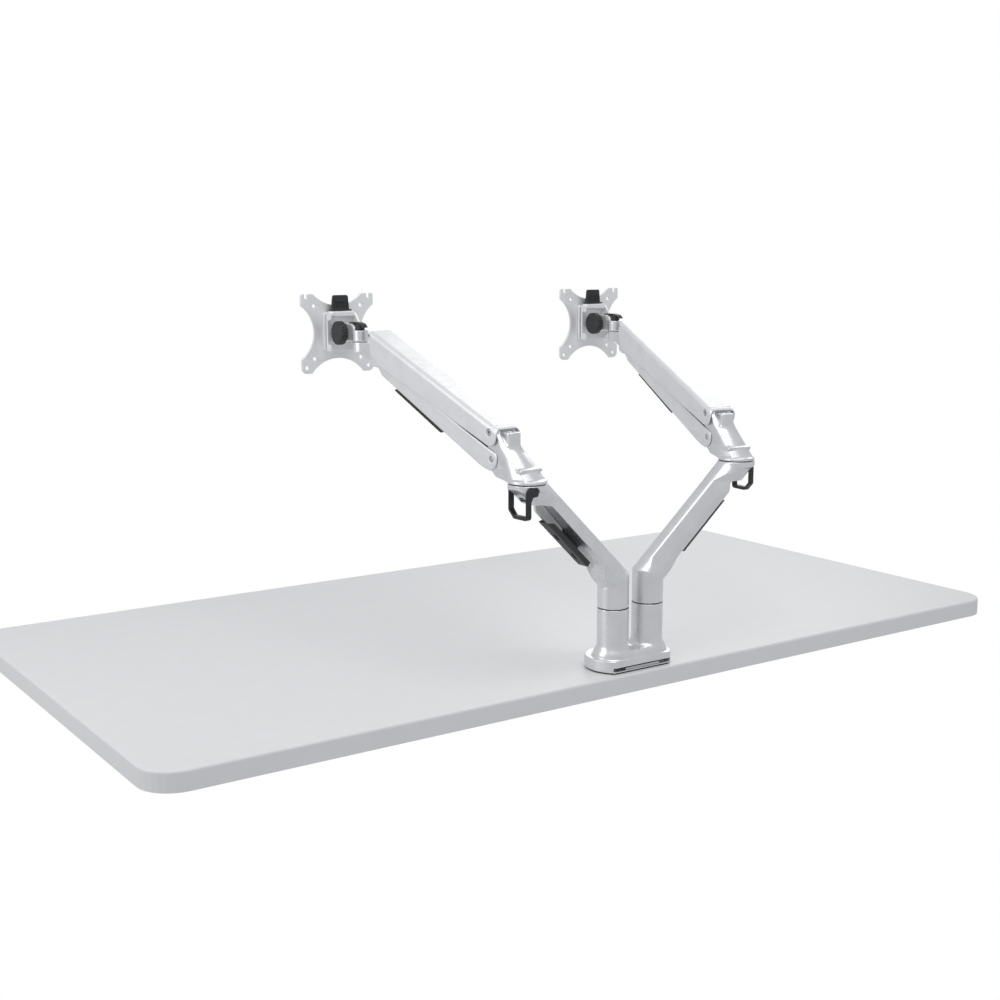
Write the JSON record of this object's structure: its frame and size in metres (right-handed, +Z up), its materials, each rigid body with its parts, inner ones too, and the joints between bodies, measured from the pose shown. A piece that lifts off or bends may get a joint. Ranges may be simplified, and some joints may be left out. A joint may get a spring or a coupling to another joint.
{
  "type": "monitor arm",
  "caption": "Twin desk-mounted monitor arm: gas-spring upper arms on angled lower arms, with cable channels, tilting heads and slotted screen plates.",
  "frame": {"origin": "on the desk surface, midway between the axes of the two posts", "axes": "+Z up; -Y towards the seated user; +X to the right of that user"},
  "size_m": [0.5732, 0.4363, 0.5282],
  "materials": {
    "silver_casting": "satin silver powder coat",
    "steel": "zinc plated",
    "black_steel": "satin black",
    "black_plastic": "fine moulded texture",
    "rubber": "matte"
  },
  "bodies": {
    "base": {"base_casting": "silver_casting", "base_pad": "rubber", "slot_plate": "steel", "clamp_bolt": "steel", "right_post_pin": "steel", "left_post_pin": "steel"},
    "clamp": {"clamp_plate": "steel", "clamp_pad": "rubber"},
    "nut": {"hand_nut": "black_plastic"},
    "right_lower": {"right_lower_arm": "silver_casting", "right_cable_cover": "black_plastic", "right_cable_loop": "black_plastic", "right_post_bush": "black_plastic", "right_elbow_bush": "black_plastic"},
    "right_elbow": {"right_elbow_bracket": "silver_casting", "right_elbow_pin": "steel", "right_shell_pin": "steel", "right_link_pin": "steel"},
    "right_screw": {"right_tension_screw": "steel"},
    "right_shell": {"right_top_shell": "silver_casting", "right_spring_cylinder": "black_steel", "right_front_pin": "steel"},
    "right_rod": {"right_spring_rod": "steel"},
    "right_link": {"right_lower_link": "silver_casting", "right_cable_clip": "black_plastic"},
    "right_knuckle": {"right_front_knuckle": "silver_casting"},
    "right_head": {"right_head_arm": "silver_casting"},
    "right_lever": {"right_swivel_lever": "black_plastic"},
    "right_tilt": {"right_tilt_bracket": "silver_casting", "right_tilt_bolt": "steel"},
    "right_knob": {"right_tilt_knob": "black_plastic"},
    "right_tab": {"right_release_tab": "black_plastic"},
    "right_plate": {"right_plate_adapter": "silver_casting", "right_screen_plate": "silver_casting"},
    "left_lower": {"left_lower_arm": "silver_casting", "left_cable_cover": "black_plastic", "left_cable_loop": "black_plastic", "left_post_bush": "black_plastic", "left_elbow_bush": "black_plastic"},
    "left_elbow": {"left_elbow_bracket": "silver_casting", "left_elbow_pin": "steel", "left_shell_pin": "steel", "left_link_pin": "steel"},
    "left_screw": {"left_tension_screw": "steel"},
    "left_shell": {"left_top_shell": "silver_casting", "left_spring_cylinder": "black_steel", "left_front_pin": "steel"},
    "left_rod": {"left_spring_rod": "steel"},
    "left_link": {"left_lower_link": "silver_casting", "left_cable_clip": "black_plastic"},
    "left_knuckle": {"left_front_knuckle": "silver_casting"},
    "left_head": {"left_head_arm": "silver_casting"},
    "left_lever": {"left_swivel_lever": "black_plastic"},
    "left_tilt": {"left_tilt_bracket": "silver_casting", "left_tilt_bolt": "steel"},
    "left_knob": {"left_tilt_knob": "black_plastic"},
    "left_tab": {"left_release_tab": "black_plastic"},
    "left_plate": {"left_plate_adapter": "silver_casting", "left_screen_plate": "silver_casting"}
  },
  "joints": [
    {"name": "clamp_nut_turn", "type": "hinge", "parent": "clamp", "child": "nut", "pos_m": [0, -0.008, -0.034], "axis": [0, 0, 1], "range_deg": [-482, 3602]},
    {"name": "clamp_slide", "type": "slide", "parent": "base", "child": "clamp", "axis": [0, 0, 1], "range_m": [-0.002, 0.015]},
    {"name": "right_post_swivel", "type": "hinge", "parent": "base", "child": "right_lower", "pos_m": [0.0296, 0, 0.084], "axis": [0, 0, 1], "range_deg": [-40, 80]},
    {"name": "right_elbow_swivel", "type": "hinge", "parent": "right_lower", "child": "right_elbow", "pos_m": [0.17724, 0.01032, 0.2656], "axis": [0, 0, -1], "range_deg": [-90, 45]},
    {"name": "right_tension_turn", "type": "hinge", "parent": "right_elbow", "child": "right_screw", "pos_m": [0.18138, -0.02242, 0.3226], "axis": [0, 0, 1], "continuous": true},
    {"name": "right_lift", "type": "hinge", "parent": "right_elbow", "child": "right_shell", "pos_m": [0.18351, -0.03928, 0.3266], "axis": [-0.9921, -0.1253, 0], "range_deg": [-43, 19]},
    {"name": "right_spring_travel", "type": "slide", "parent": "right_shell", "child": "right_rod", "axis": [0.1135, -0.8983, 0.4246], "range_m": [-0.005, 0.0112]},
    {"name": "right_link_swing", "type": "hinge", "parent": "right_elbow", "child": "right_link", "pos_m": [0.18326, -0.0373, 0.2926], "axis": [-0.9921, -0.1253, 0], "range_deg": [-44.5, 19.5]},
    {"name": "right_knuckle_level", "type": "hinge", "parent": "right_shell", "child": "right_knuckle", "pos_m": [0.21461, -0.28547, 0.43553], "axis": [-0.9921, -0.1253, 0], "range_deg": [-19.5, 44.5]},
    {"name": "right_head_swivel", "type": "hinge", "parent": "right_knuckle", "child": "right_head", "pos_m": [0.22048, -0.33196, 0.4351], "axis": [0, 0, 1], "range_deg": [-80, 80]},
    {"name": "right_lever_turn", "type": "hinge", "parent": "right_head", "child": "right_lever", "pos_m": [0.22048, -0.33196, 0.4451], "axis": [0, 0, 1], "range_deg": [-20, 20]},
    {"name": "right_tilt", "type": "hinge", "parent": "right_head", "child": "right_tilt", "pos_m": [0.22048, -0.36996, 0.4351], "axis": [1, 0, 0], "range_deg": [-45, 45]},
    {"name": "right_knob_turn", "type": "hinge", "parent": "right_tilt", "child": "right_knob", "pos_m": [0.23348, -0.36996, 0.4351], "axis": [1, 0, 0], "continuous": true},
    {"name": "right_tab_press", "type": "hinge", "parent": "right_tilt", "child": "right_tab", "pos_m": [0.22048, -0.38496, 0.4655], "axis": [-1, 0, 0], "range_deg": [0, 8], "stiffness_Nm_per_rad": 0.3, "springref_deg": -2.86},
    {"name": "right_plate_turn", "type": "hinge", "parent": "right_tilt", "child": "right_plate", "pos_m": [0.22048, -0.40196, 0.4351], "axis": [0, -1, 0], "range_deg": [-90, 90]},
    {"name": "left_post_swivel", "type": "hinge", "parent": "base", "child": "left_lower", "pos_m": [-0.0296, 0, 0.084], "axis": [0, 0, -1], "range_deg": [-40, 80]},
    {"name": "left_elbow_swivel", "type": "hinge", "parent": "left_lower", "child": "left_elbow", "pos_m": [-0.17724, 0.01032, 0.2656], "axis": [0, 0, 1], "range_deg": [-90, 45]},
    {"name": "left_tension_turn", "type": "hinge", "parent": "left_elbow", "child": "left_screw", "pos_m": [-0.18283, -0.0222, 0.3226], "axis": [0, 0, 1], "continuous": true},
    {"name": "left_lift", "type": "hinge", "parent": "left_elbow", "child": "left_shell", "pos_m": [-0.18571, -0.03895, 0.3266], "axis": [-0.9856, 0.1693, 0], "range_deg": [-43, 19]},
    {"name": "left_spring_travel", "type": "slide", "parent": "left_shell", "child": "left_rod", "axis": [-0.1533, -0.8923, 0.4246], "range_m": [-0.005, 0.0112]},
    {"name": "left_link_swing", "type": "hinge", "parent": "left_elbow", "child": "left_link", "pos_m": [-0.18537, -0.03698, 0.2926], "axis": [-0.9856, 0.1693, 0], "range_deg": [-44.5, 19.5]},
    {"name": "left_knuckle_level", "type": "hinge", "parent": "left_shell", "child": "left_knuckle", "pos_m": [-0.22773, -0.28351, 0.43553], "axis": [-0.9856, 0.1693, 0], "range_deg": [-19.5, 44.5]},
    {"name": "left_head_swivel", "type": "hinge", "parent": "left_knuckle", "child": "left_head", "pos_m": [-0.23567, -0.32969, 0.4351], "axis": [0, 0, 1], "range_deg": [-80, 80]},
    {"name": "left_lever_turn", "type": "hinge", "parent": "left_head", "child": "left_lever", "pos_m": [-0.23567, -0.32969, 0.4451], "axis": [0, 0, 1], "range_deg": [-20, 20]},
    {"name": "left_tilt", "type": "hinge", "parent": "left_head", "child": "left_tilt", "pos_m": [-0.23567, -0.36769, 0.4351], "axis": [1, 0, 0], "range_deg": [-45, 45]},
    {"name": "left_knob_turn", "type": "hinge", "parent": "left_tilt", "child": "left_knob", "pos_m": [-0.22267, -0.36769, 0.4351], "axis": [1, 0, 0], "continuous": true},
    {"name": "left_tab_press", "type": "hinge", "parent": "left_tilt", "child": "left_tab", "pos_m": [-0.23567, -0.38269, 0.4655], "axis": [-1, 0, 0], "range_deg": [0, 8], "stiffness_Nm_per_rad": 0.3, "springref_deg": -2.86},
    {"name": "left_plate_turn", "type": "hinge", "parent": "left_tilt", "child": "left_plate", "pos_m": [-0.23567, -0.39969, 0.4351], "axis": [0, -1, 0], "range_deg": [-90, 90]}
  ],
  "couplings": [
    {"joint": "clamp_nut_turn", "follows": "clamp_slide", "rad_per_m": 4188.8},
    {"joint": "right_spring_travel", "follows": "right_lift", "m_per_rad": -0.0142},
    {"joint": "right_link_swing", "follows": "right_lift", "ratio": 1},
    {"joint": "right_knuckle_level", "follows": "right_lift", "ratio": -1},
    {"joint": "left_spring_travel", "follows": "left_lift", "m_per_rad": -0.0142},
    {"joint": "left_link_swing", "follows": "left_lift", "ratio": 1},
    {"joint": "left_knuckle_level", "follows": "left_lift", "ratio": -1}
  ]
}
